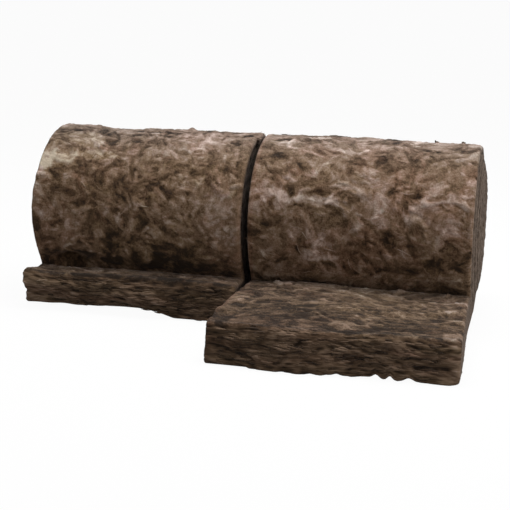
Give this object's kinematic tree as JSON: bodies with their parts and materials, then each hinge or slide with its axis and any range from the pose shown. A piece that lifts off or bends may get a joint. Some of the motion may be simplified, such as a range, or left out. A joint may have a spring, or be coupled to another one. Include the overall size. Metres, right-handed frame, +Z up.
{
  "type": "insulation roll",
  "caption": "Roll of brown glass-wool loft insulation, slit into half-width rolls on one axis, each with its loose tail lying flat on the floor to unroll between joists.",
  "frame": {"origin": "on the floor, below the middle of the whole object's box, in the slit between the two halves", "axes": "+X along the winding axis towards the half with the long tail, +Y from the loose tails back to the roll, +Z up"},
  "size_m": [1.154, 0.8267, 0.4536],
  "materials": {
    "brown_glass_wool": "matte matted glass fibre, mottled brown with paler tufts"
  },
  "bodies": {
    "root": {"left_half_roll": "brown_glass_wool", "right_half_roll": "brown_glass_wool"}
  },
  "joints": []
}
